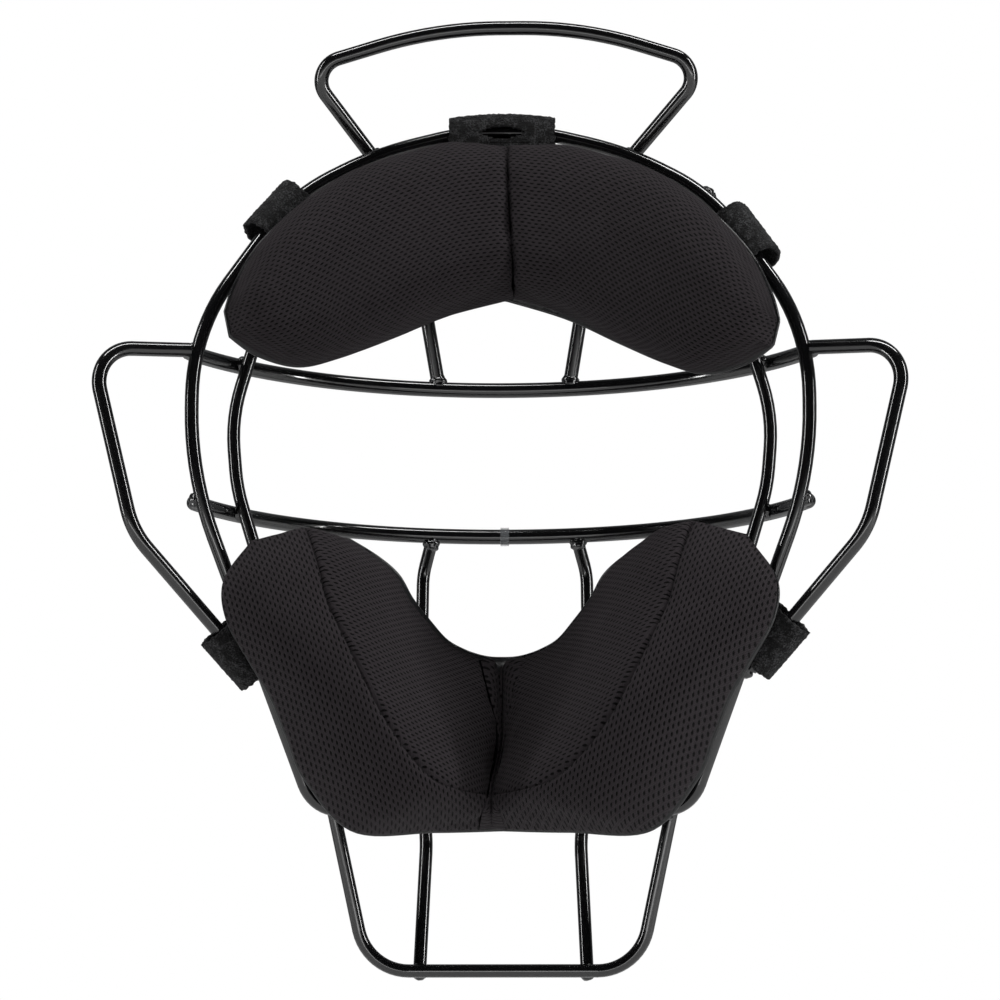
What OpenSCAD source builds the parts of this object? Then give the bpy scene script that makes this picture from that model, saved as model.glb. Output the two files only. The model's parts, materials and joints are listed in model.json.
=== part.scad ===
// Wire face mask for catchers and umpires: a welded and enamelled wire cage, a padded
// forehead bar and a padded jaw cup, held to the wires by hook-and-loop straps.
// Frame: millimetres, +Z up, +X to the wearer's right as seen from behind the mask,
// -Y towards the wearer, +Y towards the pitch. The origin is where the wearer's face sits:
// on the eye line, midway between the rim's two side rails.

/* [Wires] */
// Diameter of the rim wire, over its enamel
rim_d = 4.6; // [3.8:0.1:5.6]
// Diameter of the two eye bars
eye_bar_d = 5.2; // [4.2:0.1:6.2]
// Diameter of the crown loop and the ear guards
guard_d = 4.8; // [4:0.1:5.6]
// Diameter of the chin hoop and the lower face bars
hoop_d = 4.4; // [3.6:0.1:5.2]
// Gap left between two wires that a weld joins
weld_gap = 0.15; // [0.1:0.05:0.3]
// Radius of a weld bead
bead_r = 3.3; // [2.8:0.1:4.2]

/* [Cage] */
// Half the width of the rim at the eye line, to the wire's centre
rim_half_w = 101; // [92:1:121]
// Height of the rim's top above the eye line
rim_top_z = 108.5; // [100:0.5:130]
// Depth of the rim's foot below the eye line
rim_foot_z = 123; // [112:1:140]
// How far the rim's top stands in front of its side rails
rim_top_y = 34; // [28:1:40]
// How far the rim's foot stands in front of its side rails
rim_foot_y = 46; // [40:1:52]
// Height of the upper eye bar above the eye line
upper_bar_z = 26; // [22:1:31]
// Depth of the lower eye bar below the eye line
lower_bar_z = 24; // [20:1:29]
// Reach of the upper eye bar in front of the side rails
upper_bar_reach = 70; // [60:1:84]
// Reach of the lower eye bar in front of the side rails
lower_bar_reach = 80; // [70:1:96]
// Rise of the crown loop above the rim's top
crown_rise = 32; // [26:1:40]
// Half the width of the crown loop at its corners
crown_half_w = 67; // [58:1:80]
// Lean of the crown loop's arch to the wearer's right
crown_lean = 3; // [0:0.5:4]
// How far the ear guards stand out beyond the rim
ear_out = 30; // [24:1:38]
// Drop of the chin loop below the rim's foot
chin_drop = 52; // [42:1:63]
// Half the width of the chin loop at its corners
chin_half_w = 45; // [38:1:52]
// Half the spacing of the two face bars
face_bar_x = 27; // [22:1:32]

/* [Pads] */
// Thickness of the forehead pad at its middle
forehead_t = 27; // [20:1:32]
// Turn of the forehead pad about its middle strap, down towards the wearer's right
forehead_turn = 1.5; // [0:0.5:2]
// How far the forehead pad has slid along the rim, to the wearer's right
forehead_slide = 2.8; // [0:0.2:4]
// Thickness of the jaw pad at its cheeks
jaw_t = 44; // [36:1:52]
// Thickness of the cover cloth and the back panels
cloth_t = 1.6; // [1.2:0.1:2]
// Gap between cloth and foam, and between neighbouring panels
cloth_gap = 0.3; // [0.2:0.1:0.5]

/* [Straps] */
// Thickness of a hook-and-loop strap
strap_t = 1.8; // [1.4:0.1:2.2]
// Width of the middle strap of the forehead pad
mid_strap_w = 36; // [30:1:42]
// Width of the other straps
side_strap_w = 20; // [16:1:24]
// Gap between a strap and the wires it goes round
strap_gap = 0.4; // [0.3:0.1:0.8]
// Length of a forehead tab's flat tail on the back of its pad
tail_len = 10; // [8:0.5:12]
// Length of a jaw tab's flat tail on the back of its pad
jaw_tail_len = 4.5; // [4:0.1:4.8]
// Length of the slot in the middle strap
slot_len = 15; // [10:1:18]

/* [Hidden] */

wire_fn = 48;
rim_r = rim_d / 2;
eye_r = eye_bar_d / 2;
guard_r = guard_d / 2;
hoop_r = hoop_d / 2;

// ---- vectors and bent wires ----
function unit(v) = v / norm(v);
function flipped(p) = [-p[0], p[1], p[2]];

// A route is a list of [corner, bend radius]. A bend takes at most this share of each leg.
leg_share = 0.46;
function turn(a, b) = acos(max(-1, min(1, a * b)));
function bend(route, i) =
    let (p = route[i][0],
         a = unit(p - route[i - 1][0]),
         b = unit(route[i + 1][0] - p),
         angle = turn(a, b),
         leg = leg_share * min(norm(p - route[i - 1][0]), norm(route[i + 1][0] - p)),
         r = min(route[i][1], leg / tan(angle / 2)),
         tangent = r * tan(angle / 2))
    [p - a * tangent, p + b * tangent, a, b, angle, r,
        p + unit(b - a) * (r / cos(angle / 2))];
function bends(route) = [for (i = [1:len(route) - 2]) bend(route, i)];

// Points down the middle of a bent wire, a few degrees apart on its bends.
function arc_points(k, step = 4) =
    let (n = max(2, ceil(k[4] / step)), x = unit(k[0] - k[6]))
    [for (j = [0:n]) k[6] + k[5] * (x * cos(k[4] * j / n) + k[2] * sin(k[4] * j / n))];
function trace(route) = [route[0][0], for (k = bends(route)) each arc_points(k),
    route[len(route) - 1][0]];
// The first point of a traced wire at height z, coming down, and the wire's direction there.
function below(points, z) = [for (i = [1:len(points) - 1])
    if (points[i - 1][2] >= z && points[i][2] < z) i][0];
function at_z(points, z) =
    let (i = below(points, z), a = points[i - 1], b = points[i])
    a + (b - a) * ((a[2] - z) / (a[2] - b[2]));
function along_at_z(points, z) =
    let (i = below(points, z)) unit(points[i] - points[i - 1]);

module frame(origin, x, y, z) {
    multmatrix([[x[0], y[0], z[0], origin[0]], [x[1], y[1], z[1], origin[1]],
        [x[2], y[2], z[2], origin[2]], [0, 0, 0, 1]]) children();
}
module rod(a, b, d) {
    z = unit(b - a);
    x = unit(cross(abs(z[2]) < 0.9 ? [0, 0, 1] : [1, 0, 0], z));
    frame(a, x, cross(z, x), z) cylinder(h = norm(b - a), d = d, $fn = wire_fn);
}
module elbow(k, d) {
    x = unit(k[0] - k[6]);
    frame(k[6], x, k[2], cross(x, k[2]))
        rotate_extrude(angle = k[4], $fn = wire_fn * 3)
            translate([k[5], 0]) circle(d = d, $fn = wire_fn);
}
// Straight lengths stop a hair short of each bend, inside a thin collar that joins the two.
knuckle = 0.04;
knuckle_gap = 0.1;
module along(p, z) {
    x = unit(cross(abs(z[2]) < 0.9 ? [0, 0, 1] : [1, 0, 0], z));
    frame(p, x, cross(z, x), z) children();
}
module collar(p, z, d) {
    along(p, z) cylinder(h = 4 * knuckle_gap, d = d + knuckle, center = true, $fn = wire_fn);
}
module bent_wire(route, d) {
    ks = bends(route);
    n = len(ks);
    ends = [route[0][0], for (k = ks) each [k[0], k[1]], route[len(route) - 1][0]];
    for (k = ks) {
        elbow(k, d);
        collar(k[0], k[2], d);
        collar(k[1], k[3], d);
    }
    for (i = [0:n]) {
        a = ends[2 * i];
        b = ends[2 * i + 1];
        hair = unit(b - a) * knuckle_gap;
        rod(i > 0 ? a + hair : a, i < n ? b - hair : b, d);
    }
}

// ---- the cage's routes, right half first ----
foot_mid_z = rim_foot_z - 4;
rail_y = 1;
rim_half = [
    [[0, rim_top_y, rim_top_z], 0],
    [[13, rim_top_y, rim_top_z], 60],
    [[rim_half_w * 0.42, rim_top_y - 3.5, rim_top_z - 8.2], 120],
    [[rim_half_w * 0.695, rim_top_y * 0.57, rim_top_z - 26], 90],
    [[rim_half_w, rail_y, upper_bar_z + 6], 200],
    [[rim_half_w, rail_y - 1, 8 - lower_bar_z], 200],
    [[chin_half_w + 16.5, rim_foot_y * 0.6, -rim_foot_z - 1], 13],
    [[chin_half_w - 11, rim_foot_y - 2, -foot_mid_z - 0.5], 60],
    [[0, rim_foot_y, -foot_mid_z], 0]];
rim_trace = trace(rim_half);

// The rim is one length of wire, its ends joined by a bead at the middle of its foot.
butt_gap = 1;
rim_up = [[rim_half[8][0] + [butt_gap / 2, 0, 0], 0],
    for (i = [7:-1:0]) rim_half[i]];

// The eye bars are arcs in level planes. Each touches the rim's front and has a set reach.
function bar_radius(z, reach) =
    let (p = at_z(rim_trace, z), g = rim_r + eye_r + weld_gap, drop = reach - p[1])
    (p[0] * p[0] + drop * drop - g * g) / (2 * (drop - g));
upper_bar_r = bar_radius(upper_bar_z, upper_bar_reach);
lower_bar_r = bar_radius(-lower_bar_z, lower_bar_reach);
function bar_y(x, radius, reach) = reach - radius + sqrt(radius * radius - x * x);
// Depth of a wire that runs down the inside of an eye bar at x.
function inside_bar_y(x, radius, reach) =
    bar_y(x, radius - eye_r - hoop_r - weld_gap, reach - eye_r - hoop_r - weld_gap);

// The chin hoop leaves the rim's shoulder, runs down behind both eye bars and round the chin.
shoulder_z = rim_top_z - 26;
shoulder = at_z(rim_trace, shoulder_z);
hoop_upper_x = at_z(rim_trace, upper_bar_z)[0] - 14.2;
hoop_lower_x = at_z(rim_trace, -lower_bar_z)[0] - 11.5;
hoop_upper_y = inside_bar_y(hoop_upper_x, upper_bar_r, upper_bar_reach);
hoop_lower_y = inside_bar_y(hoop_lower_x, lower_bar_r, lower_bar_reach);
hoop_slope = (hoop_lower_y - hoop_upper_y) / (upper_bar_z + lower_bar_z);
function hoop_y(z) = hoop_upper_y + hoop_slope * (upper_bar_z - z);
hoop_start = shoulder + (rim_r + hoop_r + weld_gap) * unit([0.5, 0.84, 0.22]);
chin_z = -rim_foot_z - chin_drop;
chin_y = rim_foot_y + 4;
function hoop_route(pull) = [
    [hoop_start, 0],
    [[hoop_upper_x - 4.5, hoop_y(upper_bar_z + 14), upper_bar_z + 14], 60],
    [[hoop_upper_x + 5.3, hoop_y(upper_bar_z - 18), upper_bar_z - 18], 60],
    [[hoop_lower_x + 2.6, hoop_y(8 - lower_bar_z) + pull, 8 - lower_bar_z], 60],
    [[chin_half_w + 11, rim_foot_y - 6.5, -rim_foot_z], 60],
    [[chin_half_w, chin_y - 2, chin_z], 17],
    [[0, chin_y, chin_z], 0]];
// Its bend beside the lower eye bar is pulled forward or back until the wire meets the bar.
hoop_seat = 0.36832;
hoop_half = hoop_route(hoop_lower_y + hoop_seat - at_z(trace(hoop_route(0)), -lower_bar_z)[1]);
hoop_trace = trace(hoop_half);

// The crown loop starts on the upper eye bar, crosses the front of the rim and arches over it.
crown_z = rim_top_z + crown_rise;
crown_y = rim_top_y - 16;
crown_foot_x = face_bar_x - 4;
crossing_z = rim_top_z - 9.5;
crossing = at_z(rim_trace, crossing_z) + [0, rim_r + guard_r + weld_gap, 0];
crown_half = [
    [[crown_foot_x, bar_y(crown_foot_x, upper_bar_r, upper_bar_reach),
        upper_bar_z + eye_r + weld_gap], 0],
    [[crown_foot_x + 11, crossing[1] + 17, crossing_z - 6], 14],
    [crossing + [-0.5, 2.6, -0.8], 9],
    [[crown_half_w + 1, crown_y - 1, crown_z - 14], 8],
    [[crown_half_w * 0.37, crown_y, crown_z], 200],
    [[0, crown_y, crown_z], 0]];

// A face bar hangs under the lower eye bar and crosses the front of the chin loop.
face_bar_top_x = face_bar_x - 1.5;
face_bar_route = [
    [[face_bar_top_x, bar_y(face_bar_top_x, lower_bar_r, lower_bar_reach),
        -lower_bar_z - eye_r - weld_gap], 0],
    [[face_bar_x + 1.5, lower_bar_reach + 2, -lower_bar_z - 13], 12],
    [[face_bar_x + 2, lower_bar_reach - 4, -lower_bar_z - 62], 80],
    [[face_bar_x - 1, chin_y + 8, -rim_foot_z - 10], 20],
    [[face_bar_x + 1, chin_y + hoop_r + hoop_r + weld_gap - 0.6, chin_z - 2], 0]];

// An ear guard stands out from the side rail and comes back to the rim below the cheek.
ear_root = at_z(rim_trace, upper_bar_z - 0.5);
ear_foot_z = -rim_foot_z * 0.645;
ear_foot = at_z(rim_trace, ear_foot_z)
    + (rim_r + guard_r + weld_gap) * unit([0.72, -0.68, 0.12]);
ear_route = [
    [ear_root + [rim_r + 0.4, -1.2, 0], 0],
    [ear_root + [ear_out + 3, -17, -2.5], 12],
    [[rim_half_w + ear_out - 12.6, -9.5, -lower_bar_z - 12.4], 26],
    [ear_foot, 0]];
ear_trace = trace(ear_route);

// A whole route from a half one that ends at x = 0.
function open_loop(half) =
    let (last = len(half) - 2)
    [for (i = [0:last]) half[i],
        for (i = [last:-1:0]) [flipped(half[i][0]), half[i][1]]];
module enamel() {
    color([0.02, 0.02, 0.022]) children();
}
module rim_wire() {
    enamel() bent_wire(open_loop(rim_up), rim_d);
}
module chin_hoop() {
    enamel() bent_wire(open_loop(hoop_half), hoop_d);
}
function leaning(p) =
    p + [crown_lean * max(0, (p[2] - crossing_z) / (crown_z - crossing_z)), 0, 0];
module crown_loop() {
    enamel() bent_wire([for (c = open_loop(crown_half)) [leaning(c[0]), c[1]]], guard_d);
}
module eye_bar(z, radius, reach) {
    half_angle = asin((at_z(rim_trace, z)[0] + 3.2) / radius);
    enamel() translate([0, reach - radius, z]) {
        rotate([0, 0, 90 - half_angle]) rotate_extrude(angle = 2 * half_angle, $fn = 144)
            translate([radius, 0]) circle(d = eye_bar_d, $fn = wire_fn);
        for (s = [-1, 1])
            translate([s * radius * sin(half_angle), radius * cos(half_angle), 0])
                sphere(d = eye_bar_d + knuckle, $fn = wire_fn);
    }
}
module upper_eye_bar() {
    eye_bar(upper_bar_z, upper_bar_r, upper_bar_reach);
}
module lower_eye_bar() {
    eye_bar(-lower_bar_z, lower_bar_r, lower_bar_reach);
}
module right_face_bar() {
    enamel() bent_wire(face_bar_route, hoop_d);
}
module left_face_bar() {
    mirror([1, 0, 0]) right_face_bar();
}
module right_ear_guard() {
    enamel() bent_wire(ear_route, guard_d);
}
module left_ear_guard() {
    mirror([1, 0, 0]) right_ear_guard();
}

// Where wires are welded, on the right-hand side.
function between(a, b) = (a + b) / 2;
weld_points = [
    rim_half[8][0],
    ear_root + [rim_r, 1.6, 0],
    at_z(rim_trace, -lower_bar_z) + [1.8, 2, 0],
    [hoop_upper_x + 1.5, hoop_upper_y + 2, upper_bar_z],
    [hoop_lower_x + 1.5, hoop_lower_y + 2, -lower_bar_z],
    between(hoop_start, shoulder),
    crossing + [0, -guard_r, 0.5],
    crown_half[0][0],
    face_bar_route[0][0],
    between(ear_foot, at_z(rim_trace, ear_foot_z)),
    [chin_half_w + 9, rim_foot_y - 10, -rim_foot_z - 0.5],
    [face_bar_x + 1, chin_y + hoop_r, chin_z]];
module weld_beads() {
    enamel() for (s = [-1, 1], p = weld_points)
        translate([s * p[0], p[1], p[2]]) sphere(r = bead_r, $fn = 32);
}

// A clear ring on the middle of the lower eye bar.
band_w = 3;
band_t = 0.5;
module clear_band() {
    color([0.75, 0.78, 0.8, 0.5])
        translate([-band_w / 2, lower_bar_reach, -lower_bar_z]) rotate([0, 90, 0])
            difference() {
                cylinder(h = band_w, r = eye_r + band_t + 0.1, $fn = wire_fn);
                translate([0, 0, -1]) cylinder(h = band_w + 2, r = eye_r + 0.1, $fn = wire_fn);
            }
}

// ---- pads ----
// Each pad is a row of cross-sections laid over the wires: a flat back and an arched front.
function mix(a, b, t) = a + (b - a) * t;
function spline(p, t) =
    let (n = len(p) - 1, i = min(floor(t), n - 1), f = t - i,
         a = p[max(i - 1, 0)], b = p[i], c = p[i + 1], d = p[min(i + 2, n)])
    0.5 * (2 * b + (c - a) * f + (2 * a - 5 * b + 4 * c - d) * f * f
        + (3 * b - a - 3 * c + d) * f * f * f);

// A closed solid between two grids of points that have the same rows and columns.
module slab(front, back) {
    n = len(front) - 1;
    m = len(front[0]) - 1;
    w = m + 1;
    s = (n + 1) * w;
    border = [for (i = [0:n - 1]) i * w, for (j = [0:m - 1]) n * w + j,
        for (i = [n:-1:1]) i * w + m, for (j = [m:-1:1]) j];
    faces = [
        for (i = [0:n - 1], j = [0:m - 1]) let (a = i * w + j)
            each [[a, a + w, a + w + 1], [a, a + w + 1, a + 1],
                [s + a, s + a + w + 1, s + a + w], [s + a, s + a + 1, s + a + w + 1]],
        for (k = [0:len(border) - 1]) let (a = border[k], b = border[(k + 1) % len(border)])
            each [[b, a, s + a], [b, s + a, s + b]]];
    polyhedron([for (r = front) each r, for (r = back) each r], faces);
}
module cloth() {
    color([0.07, 0.065, 0.07]) children();
}
module foam() {
    color([0.2, 0.2, 0.21]) children();
}
module vinyl() {
    color([0.03, 0.03, 0.03]) children();
}

layer = cloth_t + cloth_gap;
half_gap = cloth_gap / 2;
edge_out = 1;

// Forehead pad, right half: outline points in pairs from the middle seam outwards.
pad_sx = rim_half_w / 101;
pad_sz = rim_top_z / 108.5;
// A tab's tail lies this far off its strap. The pad's back stands off the rim by the middle
// strap, that lap and a little air.
tab_lap = 0.4;
seat_gap = 0.5;
fore_seat = rim_r + seat_gap + strap_t + tab_lap;
fore_bow = (rim_top_y - 5.6) / pow(0.9 * rim_half_w, 2);
function fore_back_y(x) = rim_top_y - fore_seat - fore_bow * x * x;
function fore_pt(x, z) = [x * pad_sx, fore_back_y(x * pad_sx), z * pad_sz];
fore_top = [fore_pt(0, 98.3), fore_pt(23.5, 98), fore_pt(50, 89), fore_pt(66.5, 77.7),
    fore_pt(81, 61), fore_pt(88.4, 46), fore_pt(91.2, 36)];
fore_low = [fore_pt(0, 49), fore_pt(21, 42.6), fore_pt(40, 33.3), fore_pt(55, 26),
    fore_pt(68, 21.5), fore_pt(81, 23.5), fore_pt(89.5, 28.5)];
// Stations along the half: place along the outline, share of the full thickness.
fore_rows = [[0, 0.84], [0.1, 0.93], [0.3, 0.985], [0.8, 1], [1.5, 1], [2.2, 0.99], [3, 0.96],
    [3.7, 0.92], [4.3, 0.87], [4.8, 0.8], [5.2, 0.72], [5.6, 0.6], [5.85, 0.46], [6, 0.33],
    [6, 0.1]];
cells = 12;
square = 0.62;
function side(c) = c < 0 ? pow(-c, square) : -pow(c, square);
arch = [for (j = [0:cells]) let (a = 180 * j / cells)
    [j == cells / 2 ? 0 : side(cos(a)), j == 0 || j == cells ? 0 : pow(sin(a), square)]];
// How far along its stations a layer is drawn back to stay inside the layer over it.
function drawn_in(t, inset, total, per_mm) = t * (1 - inset * per_mm / total);
function fore_frame(t, inset) =
    let (s = drawn_in(t, inset, 6, 0.06), top = spline(fore_top, s), low = spline(fore_low, s),
         x = (top[0] + low[0]) / 2)
    [(top + low) / 2, top - low, -unit([2 * fore_bow * x, 1, 0])];
function fore_row(row, inset, low, lift) =
    let (f = fore_frame(row[0], inset), half = norm(f[1]) / 2, a = unit(f[1]),
         rise = max(forehead_t * row[1] - low - inset, 0.5) - lift)
    [for (p = arch) f[0] - a * (half - inset) * p[0] + f[2] * (low + lift + rise * p[1])];
function fore_flat(row, inset, h) =
    let (f = fore_frame(row[0], max(inset, 0)), half = norm(f[1]) / 2, a = unit(f[1]))
    [for (p = arch) f[0] - a * (half - inset) * p[0] + f[2] * h];
// The pad slides along its own bow, then turns about the rim's top.
bow_r = 0.5 / fore_bow;
bow_y = rim_top_y - fore_seat - bow_r;
module turned() {
    translate([0, 0, rim_top_z]) rotate([0, forehead_turn, 0]) translate([0, 0, -rim_top_z])
        translate([0, bow_y, 0]) rotate([0, 0, -asin(forehead_slide / bow_r)])
            translate([0, -bow_y, 0]) children();
}
module foam_half() {
    foam() translate([half_gap, 0, 0])
        slab([for (r = fore_rows) fore_row(r, layer, layer, 0.8)],
            [for (r = fore_rows) fore_flat(r, layer, layer)]);
}
module cover_half() {
    cloth() translate([half_gap, 0, 0])
        slab([for (r = fore_rows) fore_row(r, 0, layer, 0)],
            [for (r = fore_rows) fore_row(r, cloth_t, layer, 0)]);
}
module forehead_foam_right() {
    turned() foam_half();
}
module forehead_foam_left() {
    turned() mirror([1, 0, 0]) foam_half();
}
module forehead_cover_right() {
    turned() cover_half();
}
module forehead_cover_left() {
    turned() mirror([1, 0, 0]) cover_half();
}
function both_halves(rows) = concat(
    [for (i = [len(rows) - 1:-1:1]) [for (p = rows[i]) flipped(p)]], rows);
fore_back_rows = [for (r = fore_rows) if (r[1] > 0.2) r];
module forehead_back_panel() {
    vinyl() turned() slab(both_halves([for (r = fore_back_rows) fore_flat(r, -edge_out, cloth_t)]),
        both_halves([for (r = fore_back_rows) fore_flat(r, -edge_out, 0)]));
}

// Jaw pad, right half: outer edge, ridge and inner edge from the cheek's top to the chin.
// Its width follows the rim's at the straps, where the rim was 80.98484 out when it was drawn.
jaw_right_z = -rim_foot_z * 0.575;
jaw_left_z = -rim_foot_z * 0.6;
jaw_sx = at_z(rim_trace, jaw_right_z)[0] / 80.98484;
jaw_sz = rim_foot_z / 123;
jaw_dy = rim_foot_y - 46;
// A thicker strap stands the pad's back further off the wires; it was drawn for 1.8.
jaw_lift = 1.8 - strap_t;
jaw_dz = (24 - lower_bar_z) * 0.9;
function jaw_pt(x, y, z) = [x * jaw_sx, y + jaw_dy * (1 - x / 90) + jaw_lift, z * jaw_sz + jaw_dz];
jaw_outer = [jaw_pt(79.5, 3, -37.6), jaw_pt(88.5, 0, -51), jaw_pt(87.5, 0, -64),
    jaw_pt(80, 3, -77.5), jaw_pt(73.5, 6.5, -88.5), jaw_pt(68.5, 11, -101),
    jaw_pt(63, 15, -114), jaw_pt(47.8, 23, -130), jaw_pt(22, 31.5, -129.5), jaw_pt(0, 36, -128.6)];
jaw_ridge = [jaw_pt(61.9, 0, -32.8), jaw_pt(57.3, -9, -46.4), jaw_pt(53.5, -13, -60),
    jaw_pt(47.3, -16, -73), jaw_pt(41, -17, -86), jaw_pt(35, -15.5, -97),
    jaw_pt(27, -11.5, -108), jaw_pt(18.6, -7, -115.8), jaw_pt(9, 0, -118.7), jaw_pt(0, 8, -118.6)];
jaw_inner = [jaw_pt(48, 12.5, -31.5), jaw_pt(40, 16, -38.5), jaw_pt(34, 20, -46.7),
    jaw_pt(29.5, 24, -54.2), jaw_pt(23.8, 30, -61), jaw_pt(18.5, 35, -66.5),
    jaw_pt(12.5, 38, -69.6), jaw_pt(8, 40, -71), jaw_pt(4, 41.5, -71.6), jaw_pt(0, 42, -71.7)];
jaw_rows = [[0, 0.15], [0, 0.7], [0.08, 0.84], [0.25, 0.93], [0.5, 0.98], [1, 1], [1.7, 1],
    [2.4, 1], [3.1, 1], [3.8, 1], [4.5, 1], [5.2, 1], [5.9, 1], [6.6, 1], [7.3, 0.99],
    [7.9, 0.98], [8.3, 0.96]];
gusset_rows = [[8.3, 0.96], [8.5, 0.94], [8.75, 0.92], [9, 0.91]];
panel_cells = 6;
// The ridge is drawn for a pad this thick at its cheeks.
jaw_fill = jaw_t / 44;
function jaw_frame(t, inset) =
    let (s = 9 - drawn_in(9 - t, inset, 9, 0.07),
         o = spline(jaw_outer, s), i = spline(jaw_inner, s), r = spline(jaw_ridge, s),
         ahead = min(s + 0.05, 9), behind = max(s - 0.05, 0),
         run = unit(mix(spline(jaw_outer, ahead), spline(jaw_inner, ahead), 0.5)
            - mix(spline(jaw_outer, behind), spline(jaw_inner, behind), 0.5)),
         level = mix(run, [-1, 0, 0], max(0, s - 8)))
    [o, i, r, unit(cross(i - o, level))];
// One panel's section: from an edge up a rounded wall and along to the ridge.
function jaw_panel(f, k, inset, low, lift, outer) =
    let (w = unit(f[1] - f[0]), n = f[3], base = low + lift, full = (f[2] - f[0]) * n,
         o = f[0] + w * inset + n * base, i = f[1] - w * (inset + lift * 0.9) + n * base,
         rise = max(jaw_fill * full * k - low - inset, 0.6) - lift,
         ridge = f[2] + n * (base - full + rise) + w * (outer ? -half_gap : half_gap),
         corner = outer ? o + n * rise * 0.86 : mix(i, ridge, 0.5) + n * 8 * k)
    [for (j = [0:panel_cells]) let (s = j / panel_cells, edge = outer ? o : i)
        edge * pow(1 - s, 2) + corner * 2 * s * (1 - s) + ridge * s * s];
function jaw_side(row, inset, low, lift, outer) =
    jaw_panel(jaw_frame(row[0], inset), row[1], inset, low, lift, outer);
function reversed(list) = [for (i = [len(list) - 1:-1:0]) list[i]];
function jaw_section(row, inset, low, lift) = concat(jaw_side(row, inset, low, lift, true),
    reversed(jaw_side(row, inset, low, lift, false)));
function jaw_flat(row, inset, h, n) =
    let (f = jaw_frame(row[0], max(inset, 0)), w = unit(f[1] - f[0]))
    [for (j = [0:n]) mix(f[0] + w * inset, f[1] - w * inset, j / n) + f[3] * h];
foam_rows = concat(jaw_rows, [for (i = [1:3]) gusset_rows[i]]);
foam_in = layer + cloth_gap;
module jaw_foam_right() {
    foam() translate([half_gap, 0, 0])
        slab([for (r = foam_rows) jaw_section(r, foam_in, 0, 0.8)],
            [for (r = foam_rows) jaw_flat(r, foam_in, 0, 2 * panel_cells + 1)]);
}
module jaw_foam_left() {
    mirror([1, 0, 0]) jaw_foam_right();
}
module jaw_outer_panel_right() {
    cloth() slab([for (r = jaw_rows) jaw_side(r, 0, 0, 0, true)],
        [for (r = jaw_rows) jaw_side(r, cloth_t, 0, 0, true)]);
}
module jaw_outer_panel_left() {
    mirror([1, 0, 0]) jaw_outer_panel_right();
}
module jaw_inner_panel_right() {
    cloth() slab([for (r = jaw_rows) jaw_side(r, cloth_t, 0, 0, false)],
        [for (r = jaw_rows) jaw_side(r, 0, 0, 0, false)]);
}
module jaw_inner_panel_left() {
    mirror([1, 0, 0]) jaw_inner_panel_right();
}
gusset_in = [for (r = gusset_rows) [r[0] + (9 - r[0]) * cloth_gap / 0.7 * 0.07, r[1]]];
function gusset_half(inset) = reversed([for (r = gusset_in)
    jaw_section(r, inset, 0, 0)]);
module jaw_center_gusset() {
    cloth() slab(both_halves(gusset_half(0)), both_halves(gusset_half(cloth_t)));
}
jaw_back_rows = [for (r = jaw_rows) if (r[1] > 0.2) r];
jaw_back_all = concat(jaw_back_rows, [[8.7, 1], [9, 1]]);
function jaw_back(h) = both_halves(reversed([for (r = jaw_back_all)
    jaw_flat(r, -edge_out, h, 4)]));
module jaw_back_panel() {
    vinyl() slab(jaw_back(-cloth_gap), jaw_back(-layer));
}

// ---- straps ----
// A strap is drawn in its wire's cross-section: x away from the pad, y away from the wearer.
// `side_line` gives the line a thickness further out, on the left of a line of points.
function left_of(v) = [-v[1], v[0]];
function side_line(line, t) = [for (i = [0:len(line) - 1])
    let (a = i > 0 ? unit(line[i] - line[i - 1]) : unit(line[1] - line[0]),
         b = i < len(line) - 1 ? unit(line[i + 1] - line[i]) : a)
    line[i] + (left_of(a) + left_of(b)) * t / (1 + a * b)];
module webbing() {
    color([0.05, 0.05, 0.052]) children();
}
fold_gap = 0.45;
bulge = 2.5;
arc_steps = 6;
// A strap's numbers: [wire radius, pad's back below the wire, reach of the tab beyond the wire
// or 0 where it hugs the wire, where the tab's tail starts, width, length of the tail].
function inner_x(s) = s[0] + strap_gap + bulge;
function inner_y(s) = s[1] - tab_lap - strap_t;
function tail_end(s) = s[3] + s[5];
// A round of the strap's inner face, or its outer one at t = strap_t.
function arc(s, t, from, to) = [for (i = [0:arc_steps]) let (a = mix(from, to, i / arc_steps))
    [(inner_x(s) + t) * cos(a), (inner_y(s) + t) * sin(a)]];
function fold_half(s) = asin(fold_gap / 2 / inner_y(s));
module band(inner, outer, w) {
    webbing() linear_extrude(w, center = true) polygon(concat(inner, reversed(outer)));
}
// The base runs flat along the pad's back, under the wire and up to the fold at angle 0.
module base_band(s) {
    band(concat([[-tail_end(s), -inner_y(s)]], arc(s, 0, -90, -fold_half(s))),
        concat([[-tail_end(s), -inner_y(s) - strap_t]], arc(s, strap_t, -90, -fold_half(s))),
        s[4]);
}
module base_strap(s, slot = false) {
    difference() {
        base_band(s);
        if (slot) translate([-1.2, -inner_y(s), 0])
            cube([slot_h, 4 * strap_t, slot_len], center = true);
    }
}
// A tab either hugs one wire or makes a deeper loop that takes in a second wire.
module tab(s) {
    y = tab_lap - inner_y(s);
    start = arc(s, 0, fold_half(s), 90);
    tail = [[-s[3], y], [-tail_end(s), y]];
    line = s[2] > 0
        ? concat([start[0], [inner_x(s), s[2] * 0.6], [inner_x(s) - 3, s[2]],
            [2 - s[3], s[2]]], tail)
        : concat(start, [[-2.5, inner_y(s)]], tail);
    band(line, reversed(side_line(reversed(line), strap_t)), s[4]);
}
slot_h = 2.8;

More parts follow.
